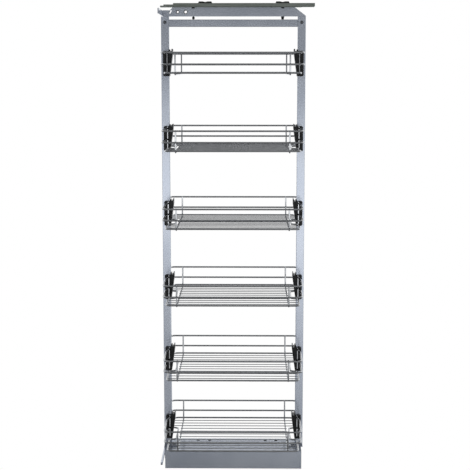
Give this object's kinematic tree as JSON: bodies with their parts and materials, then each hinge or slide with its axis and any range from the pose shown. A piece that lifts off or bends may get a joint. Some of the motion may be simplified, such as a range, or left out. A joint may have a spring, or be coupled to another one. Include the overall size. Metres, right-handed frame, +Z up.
{
  "type": "pull out larder unit",
  "caption": "Full-extension larder pull-out for a tall cabinet: wire baskets clipped to a two-post frame that runs on ball slides in a floor tray and under the cabinet top.",
  "frame": {"origin": "middle of the floor tray underside, on the cabinet floor", "axes": "+Z up; the unit pulls out towards -X; the baskets reach out along +Y and -Y"},
  "size_m": [0.532, 0.4014, 1.647],
  "materials": {
    "paint": "silver-grey epoxy powder coat on folded and welded steel, satin",
    "zinc": "zinc-plated roll-formed steel, dull",
    "chrome": "bright chrome plate on welded wire",
    "plastic": "black moulded plastic, satin",
    "steel": "bright zinc-plated steel screws and tubes"
  },
  "bodies": {
    "base": {"base_tray": "paint", "floor_screw_1": "steel", "floor_screw_2": "steel", "floor_screw_3": "steel", "floor_screw_4": "steel", "base_rail_near": "zinc", "base_rail_far": "zinc"},
    "base_cage_outer": {"base_cage_outer_near": "steel", "base_cage_outer_far": "steel"},
    "base_mid": {"base_mid_near": "zinc", "base_mid_far": "zinc"},
    "base_cage_inner": {"base_cage_inner_near": "steel", "base_cage_inner_far": "steel"},
    "frame": {"base_inner_near": "zinc", "base_inner_far": "zinc", "base_beam": "paint", "post_foot_front": "paint", "post_foot_rear": "paint", "foot_bolt_front": "steel", "foot_bolt_rear": "steel", "post_front": "paint", "post_rear": "paint", "set_screw_front": "steel", "set_screw_rear": "steel", "cross_bar": "paint", "clip_1_front": "plastic", "clip_1_rear": "plastic", "clip_2_front": "plastic", "clip_2_rear": "plastic", "clip_3_front": "plastic", "clip_3_rear": "plastic", "clip_4_front": "plastic", "clip_4_rear": "plastic", "clip_5_front": "plastic", "clip_5_rear": "plastic", "clip_6_front": "plastic", "clip_6_rear": "plastic", "door_bracket_bottom": "paint", "bracket_bolt_bottom": "steel"},
    "basket_1": {"basket_1": "chrome"},
    "basket_2": {"basket_2": "chrome"},
    "basket_3": {"basket_3": "chrome"},
    "basket_4": {"basket_4": "chrome"},
    "basket_5": {"basket_5": "chrome"},
    "basket_6": {"basket_6": "chrome"},
    "head": {"head_plate": "paint", "head_leg_front": "steel", "head_leg_rear": "steel", "ball_stud": "plastic", "cone_stud": "plastic", "top_slide_inner": "zinc", "door_bracket_top": "paint", "bracket_bolt_top": "steel"},
    "top_cage_inner": {"top_cage_inner": "steel"},
    "top_mid": {"top_slide_mid": "zinc"},
    "top_cage_outer": {"top_cage_outer": "steel"},
    "cabinet_rail": {"top_slide_cabinet": "zinc", "mounting_block_front": "plastic", "mounting_block_rear": "plastic"}
  },
  "joints": [
    {"name": "pull_out", "type": "slide", "parent": "base", "child": "frame", "axis": [-1, 0, 0], "range_m": [0, 0.47]},
    {"name": "base_cage_outer_run", "type": "slide", "parent": "base", "child": "base_cage_outer", "axis": [-1, 0, 0], "range_m": [0, 0.1175]},
    {"name": "base_mid_run", "type": "slide", "parent": "base", "child": "base_mid", "axis": [-1, 0, 0], "range_m": [0, 0.235]},
    {"name": "base_cage_inner_run", "type": "slide", "parent": "base", "child": "base_cage_inner", "axis": [-1, 0, 0], "range_m": [0, 0.3525]},
    {"name": "head_height", "type": "slide", "parent": "frame", "child": "head", "axis": [0, 0, 1], "range_m": [0, 0.12]},
    {"name": "top_cage_inner_run", "type": "slide", "parent": "head", "child": "top_cage_inner", "axis": [1, 0, 0], "range_m": [0, 0.1175]},
    {"name": "top_mid_run", "type": "slide", "parent": "head", "child": "top_mid", "axis": [1, 0, 0], "range_m": [0, 0.235]},
    {"name": "top_cage_outer_run", "type": "slide", "parent": "head", "child": "top_cage_outer", "axis": [1, 0, 0], "range_m": [0, 0.3525]},
    {"name": "cabinet_rail_run", "type": "slide", "parent": "head", "child": "cabinet_rail", "axis": [1, 0, 0], "range_m": [0, 0.47]},
    {"name": "basket_1_lift", "type": "slide", "parent": "frame", "child": "basket_1", "axis": [0, 0, 1], "range_m": [0, 0.09]},
    {"name": "basket_2_lift", "type": "slide", "parent": "frame", "child": "basket_2", "axis": [0, 0, 1], "range_m": [0, 0.09]},
    {"name": "basket_3_lift", "type": "slide", "parent": "frame", "child": "basket_3", "axis": [0, 0, 1], "range_m": [0, 0.09]},
    {"name": "basket_4_lift", "type": "slide", "parent": "frame", "child": "basket_4", "axis": [0, 0, 1], "range_m": [0, 0.09]},
    {"name": "basket_5_lift", "type": "slide", "parent": "frame", "child": "basket_5", "axis": [0, 0, 1], "range_m": [0, 0.09]},
    {"name": "basket_6_lift", "type": "slide", "parent": "frame", "child": "basket_6", "axis": [0, 0, 1], "range_m": [0, 0.09]}
  ],
  "couplings": [
    {"joint": "base_cage_outer_run", "follows": "pull_out", "ratio": 0.25},
    {"joint": "base_mid_run", "follows": "pull_out", "ratio": 0.5},
    {"joint": "base_cage_inner_run", "follows": "pull_out", "ratio": 0.75},
    {"joint": "top_cage_inner_run", "follows": "pull_out", "ratio": 0.25},
    {"joint": "top_mid_run", "follows": "pull_out", "ratio": 0.5},
    {"joint": "top_cage_outer_run", "follows": "pull_out", "ratio": 0.75},
    {"joint": "cabinet_rail_run", "follows": "pull_out", "ratio": 1}
  ]
}
